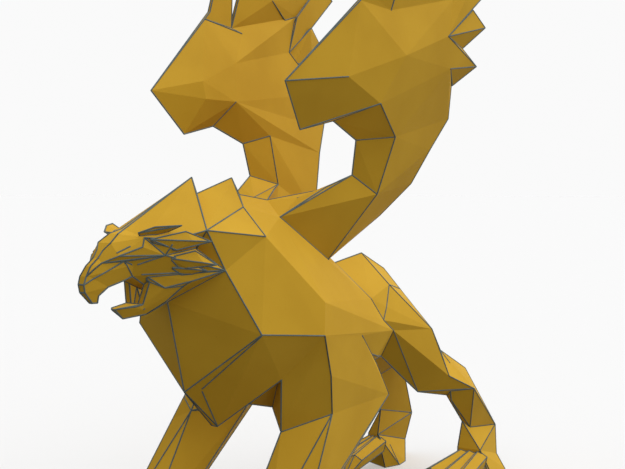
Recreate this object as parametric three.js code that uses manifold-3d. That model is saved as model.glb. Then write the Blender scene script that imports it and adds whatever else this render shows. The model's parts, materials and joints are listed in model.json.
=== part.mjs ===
// A standing griffin with raised wings, cast in one piece in flat facets.
//
// The figure faces -Y and stands on the ground plane, with its left side
// towards +X. Its origin is under the middle of its box, at the soles.
//
// Every form is a convex block between a few named corners of the carving,
// and the casting is the union of all the blocks. The corners are shares of
// the statue's height: they are read on a grid that is 300 units high.

import * as THREE from 'three';
import { ConvexGeometry } from 'three/addons/geometries/ConvexGeometry.js';
import { mergeVertices } from 'three/addons/utils/BufferGeometryUtils.js';
import Module from 'manifold-3d';

const wasm = await Module();
wasm.setup();

// Driving size
const HEIGHT = 300; // soles to the highest wing tips, in millimetres

// The carver's grid: x to the figure's left, y to its tail, z up
const GRID_HEIGHT = 300;
const UNIT = HEIGHT / GRID_HEIGHT;
const at = (x, y, z) => new THREE.Vector3(x, y, z).multiplyScalar(UNIT);

// A corner where it is drawn, on the left, or on the other side of the middle
const here = (corner) => corner.clone();
const across = (corner) => new THREE.Vector3(-corner.x, corner.y, corner.z);
const both = (...corners) => [...corners, ...corners.map(across)];
const between = (a, b, share) => new THREE.Vector3().lerpVectors(a, b, share);
const shifted = (corner, x, y, z) => corner.clone().add(at(x, y, z));

// Turns a closed geometry into a solid that can be joined with others
function solidOf(geometry) {
  geometry.deleteAttribute('normal');
  geometry.deleteAttribute('uv');
  const merged = mergeVertices(geometry, 1e-4);
  return new wasm.Manifold(new wasm.Mesh({
    numProp: 3,
    vertProperties: new Float32Array(merged.attributes.position.array),
    triVerts: new Uint32Array(merged.index.array),
  }));
}

// A convex block is the tightest flat-sided solid around its corners
const block = (...corners) => solidOf(new ConvexGeometry(corners));
const join = (solids) => solids.reduce((whole, solid) => whole.add(solid));

// Corners of the trunk on its left side, and on its middle line
const trunk = {
  throat: at(0, -88, 113.5),
  breast: at(0, -78.5, 76.5),
  breastSide: at(4, -72.5, 77.5),
  brisket: at(1.5, -60, 59.5),
  jowl: at(21, -78, 126),
  nape: at(14, -78.5, 135.8),
  ruffFront: at(19, -86.5, 141.7),
  shoulderTop: at(26, -59, 138.5),
  shoulderPoint: at(32.5, -70, 101),
  shoulderSide: at(41.5, -40, 98),
  shoulderBack: at(39, -36, 111),
  withers: at(0, -43.5, 155),
  back: at(0, -24, 152.5),
  loin: at(0, 29, 122),
  loinSide: at(21, 28.5, 105.8),
  flank: at(32.5, 2.5, 92.5),
  hipFront: at(24.5, 34, 95.5),
  flankLow: at(24, 29, 79.1),
  bellyFront: at(8, -47, 67.4),
  bellyLow: at(8, -31, 63.4),
  bellyMiddle: at(13, 5, 68),
  bellyRear: at(10, 40, 78),
};

// Corners of the hind quarters
const rump = {
  top: at(0, 53, 125.5),
  edge: at(17.5, 50.8, 110.7),
  crown: at(0, 74.5, 116.5),
  tailSet: at(2.5, 91, 102),
  hip: at(24, 44, 89.5),
  stifle: at(14, 49.1, 75.6),
  buttock: at(27, 77, 86.8),
};

// The raised collar of feathers behind the head, in two overlapping tiers
const ruff = {
  crestTip: at(0, -73.5, 162),
  crestBack: at(0, -70.5, 155.5),
  tierTip: at(0, -48.5, 162),
  tierCorner: at(11, -54.5, 150),
};

function chestAndBelly() {
  const t = trunk;
  const neck = block(
    t.throat, ruff.crestBack, t.withers, t.back,
    ...both(t.jowl, t.nape, t.ruffFront, t.shoulderTop, ruff.tierCorner),
  );
  const chest = block(
    t.throat, t.breast, t.withers,
    ...both(t.breastSide, t.brisket, t.jowl, t.shoulderTop, t.shoulderPoint),
    ...both(t.shoulderSide, t.shoulderBack, foreleg.near.innerTop),
  );
  const barrel = block(
    t.withers, t.back, t.loin,
    ...both(ruff.tierCorner, t.shoulderTop, t.shoulderBack, t.shoulderSide, wingRoot.front, wingRoot.rear),
    ...both(t.loinSide, t.flank, t.flankLow, t.hipFront, rump.hip, rump.stifle),
    ...both(t.bellyFront, t.bellyLow, t.bellyMiddle, t.bellyRear),
  );
  const tier = block(
    ruff.crestBack, ruff.tierTip, t.withers,
    ...both(ruff.tierCorner, t.ruffFront),
  );
  return [neck, chest, barrel, tier];
}

function hindQuarters() {
  const r = rump;
  const t = trunk;
  return [block(
    t.loin, r.top, r.crown,
    ...both(r.tailSet, r.edge, t.loinSide, t.hipFront, r.hip, r.stifle, r.buttock),
  )];
}

// A plain short tail droops behind the thighs and ends in a tuft
const TAIL_RINGS = 5;
const TAIL_SIDES = 6;
function tail() {
  const course = new THREE.QuadraticBezierCurve3(at(-1, 76, 93), at(-4, 117, 86), at(-6, 127, 60));
  const ringAt = (share) => {
    const middle = course.getPoint(share);
    const along = course.getTangent(share);
    const radius = 6.5 - 2.5 * share;
    return Array.from({ length: TAIL_SIDES }, (_, corner) => {
      const angle = (2 * Math.PI * corner) / TAIL_SIDES;
      const lift = radius * Math.sin(angle);
      return shifted(middle, radius * Math.cos(angle), -lift * along.z, lift * along.y);
    });
  };
  const rings = Array.from({ length: TAIL_RINGS + 1 }, (_, place) => ringAt(place / TAIL_RINGS));
  const links = rings.slice(1).map((ring, place) => block(
    ...rings[place], ...ring, course.getPoint(Math.max(0, place - 0.5) / TAIL_RINGS),
  ));
  const tuft = block(
    ...rings[TAIL_RINGS - 1], at(-13, 127, 56), at(1, 130, 55), at(-5, 121, 55), at(-6, 128, 43),
  );
  return [...links, tuft];
}

// The foreleg is a column between four edges: inner front, outer front,
// outer rear and inner rear. The near one is drawn back, the far one
// reaches forward, so each has corners of its own. x grows outwards.
const foreleg = {
  near: {
    shoulder: trunk.shoulderSide,
    flank: trunk.flank,
    innerTop: at(25.5, -48, 79.5),
    outerTop: at(38.5, -31, 80),
    elbowTop: at(26, 25, 76.5),
    elbow: at(23, 41.5, 59),
    innerBend: at(20, -41, 56),
    outerBend: at(34, -23.5, 62.2),
    outerNotch: at(29.5, -10.5, 60.5),
    rearBend: at(25, 16, 46.5),
    armpit: at(8, -31, 63.4),
    innerRear: at(12, 2, 56),
    wristInner: at(17, -63, 19),
    wristFront: at(26, -58, 20),
    wristOuter: at(35, -46, 19),
    wristRear: at(27, -22, 21),
    wristInnerRear: at(14, -32, 22),
    palm: at(23, -46, 0),
    heading: -10,
  },
  far: {
    shoulder: at(32, -27, 84),
    flank: at(30, 5, 85),
    innerTop: at(22, -36, 77),
    outerTop: at(31, -35.6, 74.8),
    elbowTop: at(30, 5, 76),
    elbow: at(27, 8, 62),
    innerBend: at(20, -52, 62),
    outerBend: at(31, -51.5, 57.2),
    outerNotch: at(33, -38, 62),
    rearBend: at(22, -9.5, 57),
    armpit: at(8, -38, 66),
    innerRear: at(12, -24, 60),
    wristInner: at(20, -79, 19),
    wristFront: at(29, -88, 18),
    wristOuter: at(35, -72, 19),
    wristRear: at(28, -46, 20),
    wristInnerRear: at(17, -62.2, 23),
    palm: at(25, -68, 0),
    heading: -3,
  },
};

// A toe runs out from its root, arches at the knuckle and ends in a claw.
// Each section is a ridge, two sides and a flat underside.
function toe(rootTop, knuckleTop, tip, halfWidth, depth) {
  const along = new THREE.Vector3().subVectors(tip, rootTop).setZ(0).normalize();
  const aside = new THREE.Vector3(-along.y, along.x, 0).multiplyScalar(halfWidth * UNIT);
  const section = (top, scale, sink) => {
    const low = shifted(top, 0, 0, -sink);
    const side = aside.clone().multiplyScalar(scale);
    const shoulder = shifted(top, 0, 0, -0.35 * sink);
    return [
      top, shoulder.clone().add(side), shoulder.clone().sub(side),
      low.clone().addScaledVector(side, 0.7), low.clone().addScaledVector(side, -0.7),
    ];
  };
  const knuckle = section(knuckleTop, 1, depth);
  const core = shifted(between(rootTop, knuckleTop, 0.7), 0, 0, -0.5 * depth);
  return [
    block(...section(rootTop, 1.1, depth * 1.25), ...knuckle),
    block(...knuckle, core, tip, shifted(tip, 0, 0, 1.2)),
  ];
}

// A forefoot: a broad ball flat on the ground, three talons and a spur
const TALON_SPREAD = 24; // degrees between neighbouring front talons
const TALON_REACH = 50;
function talons(leg, side) {
  const turned = (distance, degrees, z) => {
    const angle = ((leg.heading + degrees) * Math.PI) / 180;
    return shifted(leg.palm, distance * Math.sin(angle), -distance * Math.cos(angle), z);
  };
  const ball = [-1, 1].flatMap((turn) => [
    turned(17, turn * 32, 0), turned(18, turn * 148, 0), turned(19, turn * 30, 12),
  ]);
  const foot = block(...[
    ...ball, leg.wristInner, leg.wristFront, leg.wristOuter, leg.wristRear, leg.wristInnerRear,
  ].map(side));
  const toes = [-1, 0, 1].flatMap((place) => {
    const degrees = place * TALON_SPREAD;
    const reach = TALON_REACH - 5 * Math.abs(place);
    return toe(
      side(turned(12, degrees, 16)), side(turned(reach * 0.72, degrees, 13)),
      side(turned(reach, degrees, 0)), 5.2, 8,
    );
  });
  const spur = toe(side(turned(10, 180, 13)), side(turned(24, 180, 10)), side(turned(33, 180, 0)), 4, 7);
  return [foot, ...toes, ...spur];
}

function forelegSolids(leg, side) {
  const upper = block(...[
    leg.shoulder, leg.flank, leg.elbowTop, leg.elbow, leg.outerTop, leg.innerTop,
    leg.innerBend, leg.outerBend, leg.outerNotch, leg.armpit, leg.innerRear,
    shifted(between(leg.innerTop, leg.shoulder, 0.5), -6, -6, 3),
  ].map(side));
  const fore = block(...[
    leg.innerBend, leg.outerBend, leg.outerNotch, leg.rearBend, leg.elbow, leg.innerRear,
    leg.wristInner, leg.wristFront, leg.wristOuter, leg.wristRear, leg.wristInnerRear,
  ].map(side));
  return [upper, fore, ...talons(leg, side)];
}

// The hind leg: thigh, shank drawn far back, and the long foot bone
const hind = {
  thighBack: at(19, 101.1, 72.3),
  kneeBack: at(31, 88.2, 61.7),
  kneeFront: at(16, 66, 63),
  knee: at(19, 77, 54),
  shin: at(25, 98.5, 49.5),
  shinFold: at(27, 98.5, 47),
  hockTop: at(20, 128, 59.2),
  hock: at(37, 104.8, 53.3),
  footBack: at(27, 152, 24.5),
  footFront: at(25.5, 114, 33),
  footSide: at(28, 118.5, 29.2),
};

function hindLegSolids(side) {
  const h = hind;
  const inner = (corner, x) => new THREE.Vector3(x * UNIT, corner.y, corner.z);
  const thigh = block(...[
    rump.hip, rump.stifle, rump.buttock, h.thighBack, h.kneeBack, h.kneeFront, h.knee,
    inner(rump.buttock, 6), at(8, 50, 84), at(12, 66, 70), at(13, 75, 66),
    inner(h.thighBack, 11),
  ].map(side));
  const shank = block(...[
    h.thighBack, h.kneeBack, h.knee, h.shin, h.hockTop, h.hock,
    at(13, 75, 66), inner(h.thighBack, 11), at(19, 98, 56),
  ].map(side));
  const foot = block(...[
    h.kneeBack, h.shin, h.shinFold, h.hock, h.hockTop, h.footBack, h.footFront, h.footSide,
    at(22, 98, 53),
  ].map(side));
  return [thigh, shank, foot];
}

// The hind paw: a heel block flat on the ground and three arched toes
const paw = {
  innerTop: at(25, 110.1, 19.6),
  outerTop: at(35, 116.5, 18),
  heelTop: at(29.5, 148.5, 9),
  outerEdge: at(38, 121, 7.5),
  soleInnerFront: at(23, 115, 0),
  soleInner: at(19.5, 125, 0),
  soleInnerRear: at(21, 134, 0),
  soleRear: at(33.5, 151.5, 0),
  soleOuter: at(39.5, 122, 0),
};

function hindPawSolids(side) {
  const p = paw;
  const h = hind;
  const ankle = block(...[
    h.footBack, h.footFront, h.footSide, p.innerTop, p.outerTop, p.heelTop,
  ].map(side));
  const heel = block(...[
    p.innerTop, p.outerTop, p.heelTop, p.outerEdge, p.soleInnerFront, p.soleInner,
    p.soleInnerRear, p.soleRear, p.soleOuter,
  ].map(side));
  const toes = [0, 1, 2].flatMap((place) => {
    const base = shifted(between(p.innerTop, p.outerTop, 0.15 + 0.35 * place), 0, 2, -0.8);
    const spread = 7.5 * place;
    return toe(
      side(base), side(at(23 + spread, 83 + 1.5 * place, 14 - place)),
      side(at(22.5 + spread * 1.1, 69 + 2 * place, 0)), 4.4, 7,
    );
  });
  return [ankle, heel, ...toes];
}

// Where the wing grows out of the back
const wingRoot = {
  front: at(17, -37.5, 145.6),
  low: at(17, -2.8, 125.1),
  rear: at(10.5, 9.5, 126),
  keel: at(8, -8, 128),
  fold: at(12, -18.2, 153.5),
  web: at(15, 1.2, 157.6),
  shelf: at(23.7, -12.9, 158.3),
  outer: at(34.5, 11.5, 155),
  inner: at(23.7, 15.5, 159.5),
  top: at(28.6, 0, 163.5),
  bend: at(19, 39.6, 145),
  back: at(28.2, 53, 160),
};

// The raised wing: an arm rising from the root and the broad hand above it
const wing = {
  lead: at(35.7, -59, 199.5),
  low: at(31.3, -43, 181.4),
  hollow: at(33, -21.5, 186),
  armTop: at(31.6, -1.5, 178.7),
  armOuter: at(41.5, 15.5, 180.5),
  armInner: at(29, 16.1, 183),
  armRear: at(35, 59, 176),
  armRearInner: at(30, 59.7, 176),
  rimFront: at(46, -29.5, 203),
  rimBack: at(47.5, -7, 193.5),
  innerFront: at(30, -31.8, 205.4),
  innerLow: at(28.3, -31.8, 197.4),
  innerBack: at(28.5, -10.4, 197.6),
  innerHigh: at(34.5, -2.9, 216.5),
  innerRear: at(42.3, 49.9, 227.6),
  trail: at(37, 74, 191.8),
  trailLow: at(39, 73.3, 207.9),
  trailMid: at(47.5, 56.3, 214),
  trailTop: at(49.5, 50.2, 228.3),
  swell: at(50.6, 9.3, 215.2),
  edge: at(42.7, -16.4, 236),
  wrist: at(43.5, -11.7, 240),
  knuckle: at(43.6, -2, 230),
  fork: at(44.6, 5.3, 234.6),
  notchLow: at(44.5, 72.9, 225.4),
  notchMid: at(46.4, 75, 243.5),
  notchHigh: at(46.1, 60.8, 247.5),
  notchTop: at(46.5, 46, 268),
  outerRidge: at(46.2, 40, 250),
  innerRidge: at(42.6, 36.2, 252),
};

// A flight feather is a thin leaf inside its rim corners, drawn out to a tip;
// its root points lie in the wing, or raise a ridge that runs to the tip
const LEAF = 1.2;
const TIP_LEAF = 0.8;
const faces = (corner, thickness) => [
  shifted(corner, thickness / 2, 0, 0), shifted(corner, -thickness / 2, 0, 0),
];
const featherFan = [
  {
    rim: [wing.wrist, wing.fork, at(47.2, 8.2, 248.3)],
    tip: at(50.5, 15, 299.4),
    roots: [wing.knuckle],
  },
  {
    rim: [wing.fork, at(45.6, 13, 252), wing.notchTop, wing.notchHigh],
    tip: at(51, 44, 296),
    roots: [wing.outerRidge, wing.innerRidge, at(45.2, 30, 238.5)],
  },
  {
    rim: [wing.notchHigh, wing.notchTop, at(47.5, 74.5, 258.8)],
    tip: at(51, 80, 284),
    roots: [wing.outerRidge, wing.innerRidge, at(45.2, 52, 243)],
  },
  {
    rim: [wing.notchMid, wing.notchHigh, at(48.5, 86, 268)],
    tip: at(50, 100.4, 261.8),
    roots: [wing.trailTop, wing.innerRear, at(43.8, 59, 247)],
  },
  {
    rim: [wing.notchLow],
    tip: at(49.8, 87.5, 236.8),
    roots: [
      wing.trailTop, at(44.2, 52.6, 228), at(42.5, 55, 222), at(44.3, 71.9, 242.5), at(48.2, 78, 244.4),
    ],
  },
  {
    rim: [wing.trailLow, wing.notchLow],
    tip: at(46, 85.7, 217.9),
    roots: [wing.trailTop, wing.trailMid, at(38.5, 63, 215)],
  },
];

function wingSolids(side) {
  const r = wingRoot;
  const w = wing;
  const yoke = block(...[
    r.front, r.low, trunk.back, r.web, r.fold, r.outer, r.inner, r.keel,
  ].map(side));
  const base = block(...[
    r.front, r.low, r.rear, r.fold, r.shelf, r.outer, r.inner, r.top, r.keel,
  ].map(side));
  const heel = block(...[
    r.inner, r.outer, r.bend, r.back, r.rear, r.low, r.keel,
  ].map(side));
  const arm = block(...[
    r.top, r.outer, r.inner, r.bend, r.back, w.armTop, w.armOuter, w.armInner, w.armRear,
    w.armRearInner,
  ].map(side));
  const elbow = block(...[
    w.armTop, w.armOuter, w.armInner, w.armRear, w.armRearInner, w.hollow, w.rimBack, w.innerBack,
    w.trail,
  ].map(side));
  const rim = block(...[
    w.lead, w.low, w.hollow, w.rimFront, w.rimBack, w.innerFront, w.innerLow, w.innerBack,
    w.innerHigh, ...faces(w.edge, LEAF),
  ].map(side));
  const hand = block(...[
    w.rimFront, w.rimBack, w.armOuter, w.armInner, w.trail, w.trailLow, w.trailMid, w.trailTop,
    w.swell, w.innerFront, w.innerBack, w.innerHigh, w.innerRear, ...faces(w.edge, LEAF),
    ...faces(w.fork, LEAF),
  ].map(side));
  const coverts = block(...[
    w.swell, w.trailTop, w.innerHigh, w.innerRear, ...faces(w.fork, LEAF),
    ...faces(w.notchHigh, LEAF),
  ].map(side));
  const knuckle = block(...[
    ...faces(w.edge, LEAF), ...faces(w.wrist, LEAF), ...faces(w.fork, LEAF), w.knuckle,
  ].map(side));
  const feathers = featherFan.map(({ rim: corners, tip, roots }) => block(...[
    ...corners.flatMap((corner) => faces(corner, LEAF)), ...faces(tip, TIP_LEAF), ...roots,
  ].map(side)));
  return [yoke, base, heel, arm, elbow, rim, hand, coverts, knuckle, ...feathers];
}

// Corners of the head, from the crest forward to the face
const head = {
  foretop: at(0.8, -111.9, 142.5),
  forehead: at(2.2, -116.4, 141),
  browRidge: at(3.2, -121.1, 137.9),
  stop: at(1.6, -123.3, 135.3),
  stopLow: at(1.2, -125.4, 132.6),
  browTip: at(3, -125.3, 130.9),
  browMiddle: at(7, -120.7, 133.3),
  browEnd: at(10.5, -112.2, 136.3),
  browBack: at(9.8, -110.6, 139.6),
  crestLow: at(16.5, -101.1, 138.8),
  eyeFront: at(5.3, -116.7, 131.1),
  eyeBack: at(9, -111, 133),
  boneFront: at(7, -111.6, 129.9),
  boneBack: at(13.5, -103.5, 132.9),
  ridgeFront: at(6, -108.7, 126.4),
  mouthMiddle: at(5.3, -112.3, 125.4),
  mouthCorner: at(6.6, -104.6, 122.8),
  cheekFront: at(7, -103.6, 124.5),
  cheek: at(9.8, -99.9, 120.4),
  cheekBack: at(15, -90.5, 122.5),
  jowlLow: at(12, -91.8, 120.6),
  jawBack: at(7, -96.4, 114.8),
};

const beak = {
  rootTop: at(1.2, -129.1, 129.8),
  rootSide: at(2.3, -128.4, 128.8),
  bridge: at(1.6, -131.5, 126.3),
  front: at(1.4, -132.5, 123.5),
  lip: at(1.3, -131.9, 120.6),
  nib: at(0.6, -129.7, 118.4),
  tip: at(0.7, -127.9, 116.5),
  tipBack: at(0.7, -125.4, 116.4),
  hookInside: at(1.4, -125.5, 119),
  hookBack: at(2.6, -121.9, 122),
  edge: at(4.4, -115.8, 124),
};

const jaw = {
  tip: at(0.8, -116.9, 113.1),
  rimFront: at(2, -115.8, 113.5),
  rim: at(3.6, -109.3, 113.7),
  armFront: at(4.3, -106, 114.3),
  armLow: at(4, -105.1, 112.4),
  chin: at(0, -112.1, 109.3),
  chinBack: at(1, -103.8, 109.7),
  throatSide: at(2.5, -102.4, 110.3),
};

function headSolids() {
  const h = head;
  const inward = (corner, x) => shifted(corner, -x, 0, 0);
  const crest = block(
    ruff.crestTip, ruff.crestBack,
    ...both(h.foretop, trunk.ruffFront, trunk.nape, h.crestLow, h.browBack, h.boneBack),
  );
  const skull = block(
    ...both(h.foretop, h.forehead, h.browRidge, h.stop, h.stopLow, h.browTip, h.browMiddle),
    ...both(h.browEnd, h.browBack, h.eyeFront, h.eyeBack, h.boneBack),
  );
  const face = block(
    trunk.throat,
    ...both(h.eyeFront, h.eyeBack, h.boneFront, h.boneBack, h.ridgeFront, h.mouthMiddle),
    ...both(trunk.nape, trunk.jowl, inward(h.cheekFront, 4), inward(h.jowlLow, 6)),
  );
  const cheeks = [here, across].flatMap((side) => [
    block(...[
      h.ridgeFront, h.cheekFront, h.cheek, h.cheekBack, trunk.jowl, h.jowlLow, h.mouthCorner,
      inward(h.mouthCorner, 2.5), inward(h.jowlLow, 8), trunk.throat,
    ].map(side)),
    block(...[
      h.mouthCorner, inward(h.mouthCorner, 2.5), h.cheekFront, h.cheek, jaw.armFront, jaw.armLow,
      inward(jaw.armFront, 2.5), inward(jaw.armLow, 2.5), inward(h.cheek, 5),
    ].map(side)),
    block(...[
      h.cheek, jaw.armLow, jaw.throatSide, h.jawBack, h.jowlLow, trunk.throat,
      inward(jaw.throatSide, 4), inward(h.cheek, 5),
    ].map(side)),
  ]);
  return [crest, skull, face, ...cheeks];
}

function beakSolids() {
  const b = beak;
  const h = head;
  const upper = block(...both(
    h.stopLow, h.browTip, h.eyeFront, h.boneFront, h.mouthMiddle,
    b.rootTop, b.rootSide, b.bridge, b.hookBack, b.edge,
  ));
  const hook = block(...both(b.bridge, b.rootSide, b.front, b.lip, b.hookInside, b.hookBack));
  const nib = block(...both(b.lip, b.nib, b.tip, b.tipBack, b.hookInside, b.front));
  const lower = block(
    jaw.chin,
    ...both(jaw.tip, jaw.rimFront, jaw.rim, jaw.armFront, jaw.armLow, jaw.chinBack, jaw.throatSide),
  );
  return [upper, hook, nib, lower];
}

// A leaf-shaped lock of feathers: a ridge between an upper and a lower edge
function lock(from, tip, { rise, drop, swell, side }) {
  const ridge = shifted(between(from, tip, 0.66), swell, 0, 0);
  const upper = shifted(between(from, tip, 0.6), -0.6 * swell, 0, rise);
  const lower = shifted(between(from, tip, 0.45), -0.6 * swell, 0, -drop);
  const buried = shifted(between(from, tip, 0.3), -5, 0, -4);
  return block(...[from, tip, ridge, upper, lower, buried].map(side));
}

function locks(side) {
  return [
    block(...[
      at(8.8, -112.6, 141.4), at(12.6, -107.9, 143.5), at(18, -99.5, 143.9), at(9.5, -102, 140.2),
      at(9, -107.9, 139.5), at(6, -103, 140), at(6, -108, 138),
    ].map(side)),
    lock(at(12, -109.8, 139), at(22, -87.6, 137.6), { rise: 3.4, drop: 3.6, swell: 1.2, side }),
    lock(at(13, -102, 131.8), at(23, -85.4, 128.7), { rise: 4.2, drop: 2.6, swell: 1.6, side }),
    lock(at(13, -99, 128), at(19, -86.8, 126.5), { rise: 1.6, drop: 1.4, swell: 1, side }),
  ];
}

const casting = join([
  ...chestAndBelly(),
  ...hindQuarters(),
  ...tail(),
  ...forelegSolids(foreleg.near, here),
  ...forelegSolids(foreleg.far, across),
  ...headSolids(),
  ...beakSolids(),
  ...[here, across].flatMap((side) => [
    ...hindLegSolids(side), ...hindPawSolids(side), ...wingSolids(side), ...locks(side),
  ]),
]);

function meshOf(solid, name, material) {
  const { vertProperties, triVerts } = solid.getMesh();
  const geometry = new THREE.BufferGeometry();
  geometry.setAttribute('position', new THREE.BufferAttribute(vertProperties, 3));
  geometry.setIndex(new THREE.BufferAttribute(triVerts, 1));
  const mesh = new THREE.Mesh(geometry, material);
  mesh.name = name;
  return mesh;
}

const ochre = new THREE.MeshStandardMaterial({ color: 0xb08a2a, roughness: 0.5, metalness: 0 });
const griffin = meshOf(casting, 'griffin', ochre);
const box = new THREE.Box3().setFromObject(griffin);
const middle = box.getCenter(new THREE.Vector3());
griffin.position.set(-middle.x, -middle.y, -box.min.z);

const group = new THREE.Group();
group.add(griffin);

export default group;
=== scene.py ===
# %% [markdown]
# A faceted griffin, cast in one piece
#
# The real object is a desk statue: a griffin standing on its four feet with its wings raised,
# cast in golden ochre resin in large flat facets. A fine slate-coloured line is painted along
# most of its sharp ridges and folds and along some of its softer creases. The rest is left bare.
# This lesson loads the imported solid, dresses a copy of it, paints the lines, and lights the figure
# as in a bright studio.

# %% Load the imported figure
import json

import bmesh
import bpy
import numpy as np
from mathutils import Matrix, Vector
from mathutils.bvhtree import BVHTree

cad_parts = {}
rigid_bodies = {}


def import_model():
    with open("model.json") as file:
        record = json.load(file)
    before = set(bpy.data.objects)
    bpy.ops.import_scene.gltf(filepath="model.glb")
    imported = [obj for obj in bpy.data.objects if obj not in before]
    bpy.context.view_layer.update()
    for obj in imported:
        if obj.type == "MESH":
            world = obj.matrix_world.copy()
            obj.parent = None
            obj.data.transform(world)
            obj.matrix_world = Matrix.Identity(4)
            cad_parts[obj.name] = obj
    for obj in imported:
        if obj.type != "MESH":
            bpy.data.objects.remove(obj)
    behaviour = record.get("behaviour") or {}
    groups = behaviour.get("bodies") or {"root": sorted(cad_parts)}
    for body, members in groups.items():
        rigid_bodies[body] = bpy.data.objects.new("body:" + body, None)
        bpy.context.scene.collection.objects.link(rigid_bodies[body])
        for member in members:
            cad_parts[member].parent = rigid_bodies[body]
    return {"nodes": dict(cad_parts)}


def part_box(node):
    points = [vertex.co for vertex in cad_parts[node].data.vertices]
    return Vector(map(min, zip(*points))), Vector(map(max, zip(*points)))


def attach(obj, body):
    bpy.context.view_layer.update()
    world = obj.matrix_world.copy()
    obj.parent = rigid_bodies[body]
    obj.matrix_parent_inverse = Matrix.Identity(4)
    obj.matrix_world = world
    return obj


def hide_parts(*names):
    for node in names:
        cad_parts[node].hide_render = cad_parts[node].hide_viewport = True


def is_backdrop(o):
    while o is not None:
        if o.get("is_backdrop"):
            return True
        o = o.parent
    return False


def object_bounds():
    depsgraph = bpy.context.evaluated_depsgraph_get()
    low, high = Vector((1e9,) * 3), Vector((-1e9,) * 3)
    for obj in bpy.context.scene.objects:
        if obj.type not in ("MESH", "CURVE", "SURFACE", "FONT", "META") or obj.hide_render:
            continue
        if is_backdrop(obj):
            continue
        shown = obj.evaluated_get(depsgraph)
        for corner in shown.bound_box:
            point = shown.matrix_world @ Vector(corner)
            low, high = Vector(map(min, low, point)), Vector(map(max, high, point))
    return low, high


MM = 0.001
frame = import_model()
cad_box = [list(corner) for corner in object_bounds()]
low, high = (Vector(corner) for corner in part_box("griffin"))
height = high.z - low.z
print(f"griffin {1000 * (high.x - low.x):.0f} x {1000 * (high.y - low.y):.0f} x {1000 * height:.0f} mm")


# %% [markdown]
# The camera
#
# The figure is seen from its left and a little from the front, almost level with its shoulder.
# The camera is measured from the heels, which are the rearmost point of the figure, so it keeps
# its place if the figure's box changes. Its distances are those for a figure of STATUE_HEIGHT, and
# they grow with the figure.

# %% Set the camera
CAMERA_AZIMUTH = 35.0  # degrees round from straight ahead of the figure
CAMERA_ELEVATION = 2.5
SENSOR_MM = 36.0
LENS_MM = 60.48
CLIP_START = 0.01
STATUE_HEIGHT = 0.2994
AHEAD_OF_HEELS = 0.54135
TO_THE_LEFT = 0.280
ABOVE_GROUND = 0.15751

scale = height / STATUE_HEIGHT
azimuth, elevation = np.radians(CAMERA_AZIMUTH), np.radians(CAMERA_ELEVATION)
towards_camera = Vector((
    np.sin(azimuth) * np.cos(elevation),
    -np.cos(azimuth) * np.cos(elevation),
    np.sin(elevation),
))
camera = bpy.data.objects.new("camera", bpy.data.cameras.new("camera"))
camera.data.lens = LENS_MM
camera.data.sensor_width = SENSOR_MM
camera.data.clip_start = CLIP_START
camera.location = (scale * TO_THE_LEFT, high.y - scale * AHEAD_OF_HEELS, scale * ABOVE_GROUND)
camera.rotation_euler = towards_camera.to_track_quat("Z", "Y").to_euler()
bpy.context.scene.collection.objects.link(camera)
bpy.context.scene.camera = camera
print("camera at", [round(v, 3) for v in camera.location])


# %% [markdown]
# Writing shader maths as expressions
#
# Every finish here is a pattern worked out by the shader. Wiring dozens of nodes by hand hides the
# idea, so one small class wraps a socket and lets sums and products be written as in Python. One
# method adds any other node: its settings first, and then what goes into its sockets.

# %% Define the shader helper
class Wire:
    """An output socket of a material, with arithmetic that adds Math nodes."""

    def __init__(self, tree, socket):
        self.tree = tree
        self.socket = socket

    def node(self, kind, settings=None, sockets=None, output=0):
        """Adds a node of a kind, sets it up, feeds its sockets, and wraps one output."""
        added = self.tree.nodes.new(kind)
        for name, value in (settings or {}).items():
            setattr(added, name, value)
        for name, value in (sockets or {}).items():
            if isinstance(value, Wire):
                self.tree.links.new(value.socket, added.inputs[name])
            else:
                added.inputs[name].default_value = value
        return Wire(self.tree, added.outputs[output])

    def math(self, operation, first, second=0.0):
        """One Math node on two values."""
        return self.node("ShaderNodeMath", {"operation": operation}, {0: first, 1: second})

    def __add__(self, other):
        return self.math("ADD", self, other)

    def __mul__(self, other):
        return self.math("MULTIPLY", self, other)

    def __rsub__(self, other):
        return self.math("SUBTRACT", other, self)

    __radd__ = __add__
    __rmul__ = __mul__

    def above_zero(self):
        """The value itself, or 0 where it is less."""
        return self.math("MAXIMUM", self, 0.0)

    def step(self, start, end):
        """0 below start, 1 above end, and smooth between them."""
        sockets = {"Value": self, "From Min": start, "From Max": end}
        return self.node("ShaderNodeMapRange", {"interpolation_type": "SMOOTHSTEP"}, sockets)

    def noise(self, size, detail):
        """Smooth noise from 0 to 1, with features of about this size in metres."""
        return self.node("ShaderNodeTexNoise", {}, {"Vector": self, "Scale": 1.0 / size, "Detail": detail})

    def blend(self, first, second):
        """The first colour where this mask is 0, and the second where it is 1."""
        sockets = {0: self, 6: first, 7: second}
        return self.node("ShaderNodeMix", {"data_type": "RGBA"}, sockets, output=2)


def finish(name, **plain):
    """A new material. Returns it, its shader node, and a wire with the place on the piece."""
    made = bpy.data.materials.new(name)
    made.use_nodes = True
    shader = made.node_tree.nodes["Principled BSDF"]
    for socket, value in plain.items():
        shader.inputs[socket.replace("_", " ")].default_value = value
    spot = made.node_tree.nodes.new("ShaderNodeTexCoord")
    return made, shader, Wire(made.node_tree, spot.outputs["Object"])


def feed(shader, **wires):
    """Links wires to the shader's sockets, named with _ for each space."""
    for socket, wire in wires.items():
        wire.tree.links.new(wire.socket, shader.inputs[socket.replace("_", " ")])


# %% [markdown]
# The ochre resin
#
# The resin is opaque, golden ochre and nearly matt. Under studio light each facet reads as one
# even tone, so the finish must not shout: the colour drifts by a few percent over some
# centimetres, pigment specks of a few tenths of a millimetre break it up close to, and a fine
# orange-peel bump, left by the mould, softens the reflections.

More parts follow.
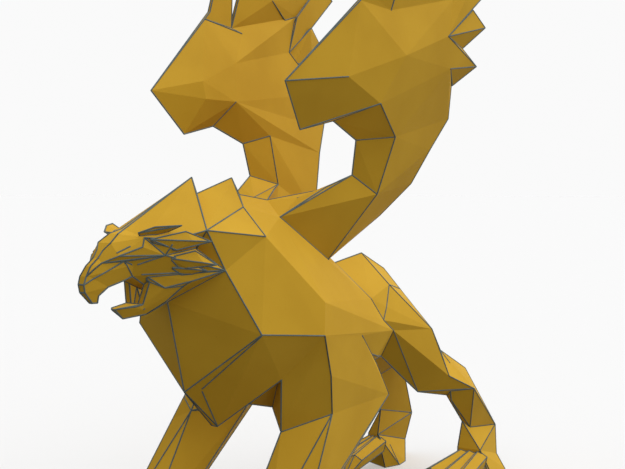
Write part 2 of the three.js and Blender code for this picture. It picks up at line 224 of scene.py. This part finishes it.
# %% Mix the ochre resin
OCHRE = (0.562, 0.328, 0.026, 1)
OCHRE_DEEP = (0.514, 0.294, 0.022, 1)
DRIFT_SIZE = 45 * MM
DRIFT_RANGE = (0.35, 0.65)
SPECK = (0.39, 0.21, 0.017, 1)
SPECK_SIZE = 0.7 * MM
SPECK_RANGE = (0.70, 0.80)
SPECK_STRENGTH = 0.35
PEEL_SIZE = 1.6 * MM
PEEL_DEPTH = 0.2 * MM
PEEL_STRENGTH = 0.10
RESIN_ROUGHNESS = 0.64
PEEL_ROUGHNESS = 0.12

ochre, shader, place = finish("ochre_resin", Specular_IOR_Level=0.06)
drift = place.noise(DRIFT_SIZE, detail=3.0).step(*DRIFT_RANGE)
specks = place.noise(SPECK_SIZE, detail=1.0).step(*SPECK_RANGE)
peel = place.noise(PEEL_SIZE, detail=3.0)
tone = (specks * SPECK_STRENGTH).blend(drift.blend(OCHRE, OCHRE_DEEP), SPECK)
peel_sockets = {"Strength": PEEL_STRENGTH, "Distance": PEEL_DEPTH, "Height": peel}
bump = place.node("ShaderNodeBump", {}, peel_sockets)
feed(shader, Base_Color=tone, Roughness=RESIN_ROUGHNESS + PEEL_ROUGHNESS * peel, Normal=bump)
print("ochre resin mixed")


# %% [markdown]
# The slate line
#
# The painted line is a matt slate, a little lighter and rougher where the brush ran dry.

# %% Mix the slate paint
SLATE = (0.085, 0.115, 0.115, 1)
SLATE_DRY = (0.135, 0.165, 0.155, 1)
DRY_SIZE = 6 * MM
DRY_RANGE = (0.45, 0.75)
SLATE_ROUGHNESS = 0.60
DRY_ROUGHNESS = 0.20

slate, shader, place = finish("slate_paint", Specular_IOR_Level=0.25)
dry = place.noise(DRY_SIZE, detail=2.0).step(*DRY_RANGE)
feed(shader, Base_Color=dry.blend(SLATE, SLATE_DRY), Roughness=SLATE_ROUGHNESS + DRY_ROUGHNESS * dry)
print("slate paint mixed")


# %% [markdown]
# The figure itself
#
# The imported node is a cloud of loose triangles. Its own mesh is never touched: a copy is welded,
# and triangles that lie in one plane are dissolved into one facet, so that each facet of the
# casting is one face and catches the light as one. The welded corners are noted before that,
# because the painted lines run between them.

# %% Copy the casting and clean its facets
WELD = 0.002 * MM
FLAT = np.radians(0.6)

casting = bmesh.new()
casting.from_mesh(frame["nodes"]["griffin"].data)
bmesh.ops.remove_doubles(casting, verts=casting.verts, dist=WELD)
cast_corners = np.array([vertex.co for vertex in casting.verts])
bmesh.ops.dissolve_limit(
    casting, angle_limit=FLAT, verts=casting.verts, edges=casting.edges, use_dissolve_boundaries=False
)
for face in casting.faces:
    face.smooth = False
body_mesh = bpy.data.meshes.new("griffin_body")
casting.to_mesh(body_mesh)
body_mesh.materials.append(ochre)
body = bpy.data.objects.new("griffin_body", body_mesh)
bpy.context.scene.collection.objects.link(body)
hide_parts("griffin")
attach(body, "root")
print(f"body: {len(body_mesh.polygons)} facets, {len(cast_corners)} corners")


# %% [markdown]
# Where the painted lines run
#
# A line follows each edge where two facets meet at a sharp angle, ridges and folds alike. The
# painter didn't keep to that rule everywhere. So one table names the softer creases that carry a
# line all the same, and another the sharp ones that are bare. Each entry is a chain of names, and
# the line runs from one to the next. A corner's place is written only roughly, in whole
# millimetres: the exact one is read from the casting, so the lines stay on its edges if it changes
# a little. A few ends lie on a facet or inside a thin edge, where the casting has no corner. Those
# are spots, and they are taken as they stand.

# %% Name the corners and spots that the lines run between
# Millimetres left of the middle, back from the middle of the box and up from the soles
CORNERS = {
    "ruff_front": (19, -96, 142), "tier_corner": (11, -64, 150), "tier_tip": (0, -58, 162),
    "shoulder_top": (26, -69, 138), "shoulder_back": (39, -46, 111), "shoulder_side": (41, -50, 98),
    "breast": (0, -88, 76), "brisket": (2, -70, 59), "back": (0, -34, 152), "flank": (32, -7, 92),
    "loin_side": (21, 19, 106), "hip_front": (24, 24, 96), "hip": (24, 34, 90),
    "rump_top": (0, 43, 126), "rump_edge": (17, 41, 111), "tail_set": (2, 81, 102),
    "stifle": (14, 39, 76), "buttock": (27, 67, 87),
    "near_inner_top": (26, -58, 80), "near_outer_top": (39, -41, 80),
    "near_outer_bend": (34, -33, 62), "near_wrist_front": (26, -68, 20),
    "far_inner_bend": (20, -62, 62),
    "thigh_back": (19, 91, 72), "knee_back": (31, 78, 62), "knee": (19, 67, 54),
    "shin": (25, 89, 50), "shin_fold": (27, 89, 47),
    "foot_side": (28, 109, 29), "foot_front": (25, 104, 33), "foot_back": (27, 142, 24),
    "paw_inner_top": (25, 100, 20), "paw_outer_top": (35, 107, 18), "paw_outer_edge": (38, 111, 8),
    "sole_inner": (19, 115, 0), "sole_inner_front": (23, 105, 0),
    "root_front": (17, -47, 146), "root_outer": (34, 2, 155), "root_fold": (12, -28, 153),
    "root_top": (29, -10, 163), "root_inner": (24, 6, 159),
    "arm_inner": (29, 6, 183), "inner_high": (34, -13, 216),
    "crest_tip": (0, -83, 162), "foretop": (1, -122, 142), "forehead": (2, -126, 141),
    "brow_ridge": (3, -131, 138), "brow_tip": (3, -135, 131),
    "brow_end": (10, -122, 136), "brow_back": (10, -120, 140),
    "stop": (2, -133, 135), "stop_low": (1, -135, 133),
    "eye_front": (5, -126, 131), "bone_back": (13, -113, 133), "mouth_middle": (5, -122, 125),
    "beak_root_side": (2, -138, 129), "beak_root_top": (1, -139, 130),
    "beak_bridge": (2, -141, 126), "beak_front": (1, -142, 124),
    "cheek_back": (15, -100, 122), "jaw_back": (7, -106, 115), "throat_side": (3, -112, 110),
    "jowl": (21, -88, 126),
}
SPOTS = {
    "breast_side": (4, -82.25, 77.5), "breast_fold": (5.5, -83.85, 77.7),
    "shoulder_fold": (32.3, -79.45, 100.6), "far_outer_middle": (31, -53.25, 66),
    "wing_fork": (44.6, -4.45, 234.6), "wing_wrist": (43.5, -21.45, 240),
    "notch_high": (46.1, 51.05, 247.5),
    "bone_front": (7, -121.25, 129.9), "ridge_front": (6, -118.45, 126.4),
    "brow_mark_front": (6.1, -130.55, 134.4), "brow_mark_back": (8, -125.85, 136.6),
}


def placed(name, sign):
    """Where a name is in metres, mirrored for a sign of -1: its spot, or else the nearest corner."""
    rough = scale * MM * np.array(SPOTS[name] if name in SPOTS else CORNERS[name]) * [sign, 1, 1]
    if name in SPOTS:
        return rough
    return cast_corners[np.linalg.norm(cast_corners - rough, axis=1).argmin()]


print(f"{len(CORNERS)} corners and {len(SPOTS)} spots named")


# %% List the soft creases that carry a line and the sharp ones that don't
SIGNS = {"both": (1, -1), "left": (1,), "right": (-1,)}
PAINTED = {
    "both": [
        "rump_top rump_edge hip_front loin_side", "stifle hip knee", "tail_set rump_edge",
        "ruff_front tier_corner shoulder_top", "breast brisket breast_side",
        "arm_inner root_inner", "thigh_back shin", "shin_fold foot_side foot_back",
        "foot_front paw_inner_top foot_back paw_outer_top", "foot_front foot_back",
        "paw_outer_edge paw_outer_top sole_inner", "paw_inner_top sole_inner_front",
        "crest_tip foretop forehead brow_ridge stop stop_low beak_root_top beak_bridge",
        "brow_end brow_back", "brow_tip beak_root_side beak_bridge", "beak_front eye_front mouth_middle",
        "bone_front bone_back", "ridge_front jowl", "cheek_back jaw_back throat_side",
        "brow_mark_front brow_mark_back", "breast_fold shoulder_fold",
    ],
    "left": ["shoulder_side near_outer_top near_outer_bend near_wrist_front"],
    "right": ["far_outer_middle far_inner_bend"],
}
BARE = {
    "both": [
        "shoulder_top shoulder_back shoulder_side", "hip knee_back", "root_front back",
        "root_outer root_front", "root_fold root_top", "inner_high notch_high wing_fork wing_wrist",
        "tier_tip ruff_front", "loin_side rump_edge", "hip_front buttock hip", "flank hip",
    ],
    "left": ["shoulder_side near_inner_top"],
}


def segments(table):
    """The two ends of every step of every chain in a table, on each side that it names."""
    for side, chains in table.items():
        for sign in SIGNS[side]:
            for chain in chains:
                places = [placed(name, sign) for name in chain.split()]
                yield from zip(places[:-1], places[1:])


print(f"{len(list(segments(PAINTED)))} creases to paint, {len(list(segments(BARE)))} to leave bare")


# %% [markdown]
# Gathering the lines
#
# The sharp edges come from the casting itself. Those that lie along a bare crease are dropped. A
# painted crease may cross facets that aren't quite in line with it, so its line is draped: cut
# into short steps, each of which moves to the nearest point of the casting.

# %% Gather the lines
LINE_ANGLE = np.radians(24)
SHORTEST = 0.5 * MM
TOUCH = 1.0 * MM
STEP = 2.0 * MM


def from_segment(points, start, end):
    """How far points lie from a segment: the part of each left over past its nearest place there."""
    along = end - start
    share = np.clip((points - start) @ along / (along @ along), 0, 1)
    return np.linalg.norm(points - start - share[:, None] * along, axis=1)


def draped(start, end):
    """Even steps from start to end, each moved to the nearest point of the casting."""
    steps = max(1, round(np.linalg.norm(end - start) / STEP))
    places = start + np.linspace(0, 1, steps + 1)[:, None] * (end - start)
    return np.array([surface.find_nearest(place)[0] for place in places])


sharp = [
    edge for edge in casting.edges
    if len(edge.link_faces) == 2
    and edge.calc_face_angle(0.0) > LINE_ANGLE
    and edge.calc_length() > SHORTEST
]
starts = np.array([edge.verts[0].co for edge in sharp])
ends = np.array([edge.verts[1].co for edge in sharp])
kept = np.full(len(sharp), True)
for start, end in segments(BARE):
    kept &= np.maximum(from_segment(starts, start, end), from_segment(ends, start, end)) > TOUCH
surface = BVHTree.FromBMesh(casting)
paths = [draped(start, end) for start, end in segments(PAINTED)]
starts = np.concatenate([starts[kept], *(path[:-1] for path in paths)])
ends = np.concatenate([ends[kept], *(path[1:] for path in paths)])
moved = np.linalg.norm(ends - starts, axis=1) > SHORTEST
starts, ends = starts[moved], ends[moved]
casting.free()
print(f"{kept.sum()} sharp edges, {np.linalg.norm(ends - starts, axis=1).sum():.2f} m of line")


# %% [markdown]
# The bead of paint
#
# The lines could be a texture, but paint has a body of its own and shows on the outline. So each
# step of a line carries a thin bead: a ring of points round its start, the same ring round its
# end, and a small point beyond each, so that beads that meet at a corner close up.

# %% Lay a bead along each edge
BEAD_RADIUS = 0.31 * MM
BEAD_SIDES = 6
STEEP = 0.8  # a bead whose direction rises by more than this share is measured against X, not Z


def beads(starts, ends, radius, sides):
    """Closed bars with pointed ends, one per row of starts and ends.

    Corner k of a ring is its middle + radius * (cos a_k * across + sin a_k * aside), where across
    and aside are unit vectors square to the bar and to each other, and a_k is k turns / sides.
    """
    along = ends - starts
    along /= np.linalg.norm(along, axis=1, keepdims=True)
    helper = np.where(np.abs(along[:, 2:]) < STEEP, [[0.0, 0.0, 1.0]], [[1.0, 0.0, 0.0]])
    across = np.cross(along, helper)
    across /= np.linalg.norm(across, axis=1, keepdims=True)
    aside = np.cross(along, across)
    turn = 2 * np.pi * np.arange(sides) / sides
    ring = radius * (
        np.cos(turn)[None, :, None] * across[:, None] + np.sin(turn)[None, :, None] * aside[:, None]
    )
    tips = np.stack([starts - radius * along, ends + radius * along], axis=1)
    points = np.concatenate([starts[:, None] + ring, ends[:, None] + ring, tips], axis=1)

    k = np.arange(sides)
    after = (k + 1) % sides
    walls = np.stack([k, after, after + sides, k + sides], axis=1)
    first_cap = np.stack([after, k, np.full(sides, 2 * sides)], axis=1)
    last_cap = np.stack([k + sides, after + sides, np.full(sides, 2 * sides + 1)], axis=1)
    offset = (2 * sides + 2) * np.arange(len(starts))[:, None, None]
    quads = (walls + offset).reshape(-1, 4)
    triangles = (np.concatenate([first_cap, last_cap]) + offset).reshape(-1, 3)
    return points.reshape(-1, 3), quads.tolist() + triangles.tolist()


points, faces = beads(starts, ends, BEAD_RADIUS, BEAD_SIDES)
line_mesh = bpy.data.meshes.new("ridge_lines")
line_mesh.from_pydata(points.tolist(), [], faces)
line_mesh.materials.append(slate)
lines = bpy.data.objects.new("ridge_lines", line_mesh)
bpy.context.scene.collection.objects.link(lines)
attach(lines, "root")
print(f"lines: {len(line_mesh.polygons)} faces")


# %% [markdown]
# The studio
#
# The figure stands in a white studio. Broad soft light comes from the ceiling and from behind,
# less of it from the figure's left and from the front, and none from below. Area lamps could give
# that, but each would need a place and a size. Here each light is a lobe of the world instead: its
# strength falls off with the cosine of the angle to its own direction. A wide sun that casts no
# shadow stands for the bounce of the white room, and keeps every facet an even tone.

# %% Light the studio
LEFT_LIGHT = 0.32
REAR_LIGHT = 0.72
FRONT_LIGHT = 0.28
CEILING_LIGHT = 0.75
PAPER = 0.955  # what the camera sees of the studio itself
SUN_FROM = Vector((0.27, 0.33, 0.90))
SUN_STRENGTH = 1.94
SUN_SPREAD = np.radians(50)

world = bpy.data.worlds.new("studio")
world.use_nodes = True
bpy.context.scene.world = world
background = world.node_tree.nodes["Background"]
background.inputs["Color"].default_value = (1, 1, 1, 1)
sky_place = world.node_tree.nodes.new("ShaderNodeTexCoord")
sky = Wire(world.node_tree, sky_place.outputs["Generated"])
leftward, rearward, upward = (
    sky.node("ShaderNodeSeparateXYZ", {}, {0: sky}, output=axis) for axis in range(3)
)
glow = (
    LEFT_LIGHT * leftward.above_zero()
    + REAR_LIGHT * rearward.above_zero()
    + FRONT_LIGHT * (0 - rearward).above_zero()
    + CEILING_LIGHT * upward.above_zero()
)
path = world.node_tree.nodes.new("ShaderNodeLightPath")
seen = Wire(world.node_tree, path.outputs["Is Camera Ray"])
strength = seen * PAPER + (1 - seen) * glow
world.node_tree.links.new(strength.socket, background.inputs["Strength"])

sun = bpy.data.objects.new("sun", bpy.data.lights.new("sun", "SUN"))
sun.data.energy = SUN_STRENGTH
sun.data.angle = SUN_SPREAD
sun.data.use_shadow = False
sun.rotation_euler = SUN_FROM.to_track_quat("Z", "Y").to_euler()
bpy.context.scene.collection.objects.link(sun)
bpy.context.scene.view_settings.view_transform = "Standard"
print("studio lit")


# %% [markdown]
# The floor
#
# The studio's floor runs on into its back wall with no seam. A curved sweep would do that, but a
# plane far wider than the view is simpler, once its tone makes it as bright as the wall. It throws
# no light back at the figure, whose undersides stay deep. It isn't part of the object.

# %% Lay the floor
FLOOR_SIZE = 40.0
FLOOR_GAP = 0.02 * MM
FLOOR_TONE = 0.715  # this much of the studio's light makes the floor as bright as the paper behind

half = FLOOR_SIZE / 2
floor_mesh = bpy.data.meshes.new("floor")
floor_mesh.from_pydata(
    [(-half, -half, 0), (half, -half, 0), (half, half, 0), (-half, half, 0)], [], [(0, 1, 2, 3)]
)
floor = bpy.data.objects.new("floor", floor_mesh)
floor.location.z = low.z - FLOOR_GAP
floor.visible_diffuse = False
bpy.context.scene.collection.objects.link(floor)
pale, shader, place = finish("pale_floor", Roughness=1.0, Specular_IOR_Level=0.0)
shader.inputs["Base Color"].default_value = (FLOOR_TONE, FLOOR_TONE, FLOOR_TONE, 1)
floor_mesh.materials.append(pale)
floor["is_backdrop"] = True
print("floor laid")


# %% [markdown]
# The two boxes
#
# Paint must not make the figure bigger. So the solid's box, kept from the start, and the dressed
# figure's box are printed side by side.

# %% Print the two boxes and finish
dressed_box = [list(corner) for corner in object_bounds()]
print("size, CAD then dressed, mm:", [
    [round(1000 * (top - bottom), 1) for bottom, top in zip(*box)] for box in (cad_box, dressed_box)
])
